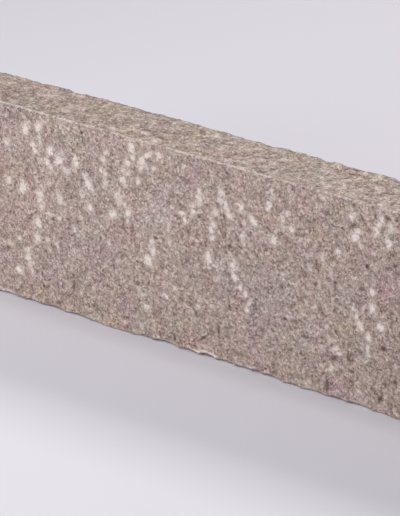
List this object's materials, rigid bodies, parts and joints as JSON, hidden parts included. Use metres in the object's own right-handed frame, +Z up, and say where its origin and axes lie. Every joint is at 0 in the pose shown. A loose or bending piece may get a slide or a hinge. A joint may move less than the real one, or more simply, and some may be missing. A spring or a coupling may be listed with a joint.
{
  "type": "granite kerb stone",
  "caption": "Straight rectangular granite kerb stone, dressed on the front, top, bed and ends, with a split back and flaked arrises.",
  "frame": {"origin": "middle of the bed, the underside on which the stone stands", "axes": "+X along the kerb, +Y from the exposed front face towards the split back, +Z up"},
  "size_m": [1, 0.08, 0.25],
  "materials": {
    "granite": "matte"
  },
  "bodies": {
    "root": {"kerb_stone": "granite"}
  },
  "joints": []
}
